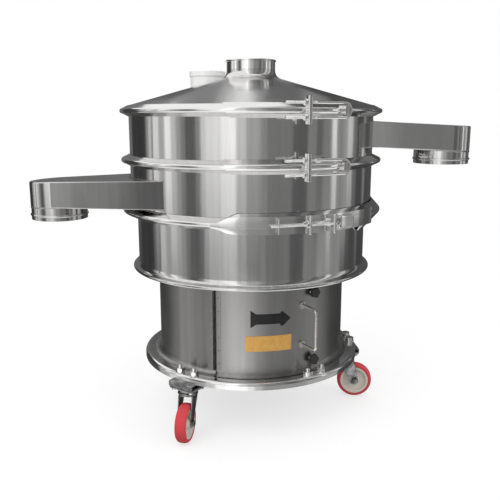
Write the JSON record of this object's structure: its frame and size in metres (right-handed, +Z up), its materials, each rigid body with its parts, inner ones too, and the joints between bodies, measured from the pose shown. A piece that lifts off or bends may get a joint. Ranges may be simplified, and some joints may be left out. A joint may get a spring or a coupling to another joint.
{
  "type": "round vibrating screen",
  "caption": "Round vibratory sifter: clamped steel decks with side outlets on a sprung pan, over a drum base with an access door on swivel casters.",
  "frame": {"origin": "on the floor, on the machine's vertical axis", "axes": "+Z up along the inlet, +X along the two outlets, the door faces -Y"},
  "size_m": [1.417, 0.8408, 1.132],
  "materials": {
    "polished_steel": "polished sheet with a vertical grain",
    "satin_steel": "satin",
    "bolt_steel": "bright bar",
    "screen_wire": "fine woven wire",
    "spring_steel": "dark, oiled",
    "zinc_steel": "dull zinc plating",
    "motor_paint": "matt paint",
    "black_rubber": "matt",
    "black_plastic": "moulded, slight sheen",
    "red_tread": "cast polyurethane, satin",
    "cream_hub": "moulded nylon",
    "brass_plate": "bare plate, no text",
    "black_sign": "vinyl film"
  },
  "bodies": {
    "base": {"base_drum": "satin_steel", "base_ring": "satin_steel", "spring_ring": "satin_steel", "hinge_fixed_leaf": "satin_steel", "caster_pads": "zinc_steel", "caster_plates": "zinc_steel", "support_springs": "spring_steel"},
    "door": {"door_panel": "satin_steel", "door_gasket": "black_rubber", "door_hinge_leaf": "satin_steel", "door_handle": "polished_steel"},
    "knob_low": {"door_knob_low": "black_plastic"},
    "knob_high": {"door_knob_high": "black_plastic"},
    "screen_stack": {"pan_shell": "polished_steel", "pan_base_plate": "satin_steel", "product_dome": "polished_steel", "clamp_gaskets": "black_rubber", "screen_ring": "polished_steel", "screen_mesh": "screen_wire", "deck_lower": "polished_steel", "deck_upper": "polished_steel", "chute_lower": "polished_steel", "chute_upper": "polished_steel", "spout_lower": "polished_steel", "spout_upper": "polished_steel", "lid_cone": "polished_steel", "inlet_spout": "polished_steel", "sight_port": "polished_steel", "sight_port_cap": "polished_steel", "motor_body": "motor_paint", "motor_weights": "motor_paint", "clamp_ring_lower": "polished_steel", "clamp_saddle_lower": "polished_steel", "clamp_bolt_lower": "bolt_steel", "clamp_ring_middle": "polished_steel", "clamp_saddle_middle": "polished_steel", "clamp_bolt_middle": "bolt_steel", "clamp_ring_top": "polished_steel", "clamp_saddle_top": "polished_steel", "clamp_bolt_top": "bolt_steel"},
    "fork_front_left": {"caster_fork_front_left": "zinc_steel"},
    "wheel_front_left": {"caster_tread_front_left": "red_tread", "caster_hub_front_left": "cream_hub"},
    "fork_right": {"caster_fork_right": "zinc_steel"},
    "wheel_right": {"caster_tread_right": "red_tread", "caster_hub_right": "cream_hub"},
    "fork_rear_left": {"caster_fork_rear_left": "zinc_steel"},
    "wheel_rear_left": {"caster_tread_rear_left": "red_tread", "caster_hub_rear_left": "cream_hub"}
  },
  "joints": [
    {"name": "door_hinge", "type": "hinge", "parent": "base", "child": "door", "pos_m": [-0.10817, -0.29243, 0.34], "axis": [0, 0, -1], "range_deg": [0, 110]},
    {"name": "knob_low_turn", "type": "hinge", "parent": "door", "child": "knob_low", "pos_m": [0.18899, -0.25823, 0.243], "axis": [0.5906, -0.807, 0], "continuous": true},
    {"name": "knob_high_turn", "type": "hinge", "parent": "door", "child": "knob_high", "pos_m": [0.18899, -0.25823, 0.451], "axis": [0.5906, -0.807, 0], "continuous": true},
    {"name": "caster_swivel_front_left", "type": "hinge", "parent": "base", "child": "fork_front_left", "pos_m": [-0.19043, -0.27196, 0.14], "axis": [0, 0, 1], "continuous": true},
    {"name": "wheel_spin_front_left", "type": "hinge", "parent": "fork_front_left", "child": "wheel_front_left", "pos_m": [-0.19708, -0.30326, 0.059], "axis": [0.9781, -0.2079, 0], "continuous": true},
    {"name": "caster_swivel_right", "type": "hinge", "parent": "base", "child": "fork_right", "pos_m": [0.33018, 0.0347, 0.14], "axis": [0, 0, 1], "continuous": true},
    {"name": "wheel_spin_right", "type": "hinge", "parent": "fork_right", "child": "wheel_right", "pos_m": [0.36201, 0.03136, 0.059], "axis": [0.1045, 0.9945, 0], "continuous": true},
    {"name": "caster_swivel_rear_left", "type": "hinge", "parent": "base", "child": "fork_rear_left", "pos_m": [-0.14031, 0.30089, 0.14], "axis": [0, 0, 1], "continuous": true},
    {"name": "wheel_spin_rear_left", "type": "hinge", "parent": "fork_rear_left", "child": "wheel_rear_left", "pos_m": [-0.1582, 0.32742, 0.059], "axis": [-0.829, -0.5592, 0], "continuous": true},
    {"name": "spring_float", "type": "slide", "parent": "base", "child": "screen_stack", "axis": [0, 0, 1], "range_m": [-0.004, 0.004], "stiffness_N_per_m": 100000, "springref_m": 0.01223, "deforming": ["support_springs"]}
  ]
}
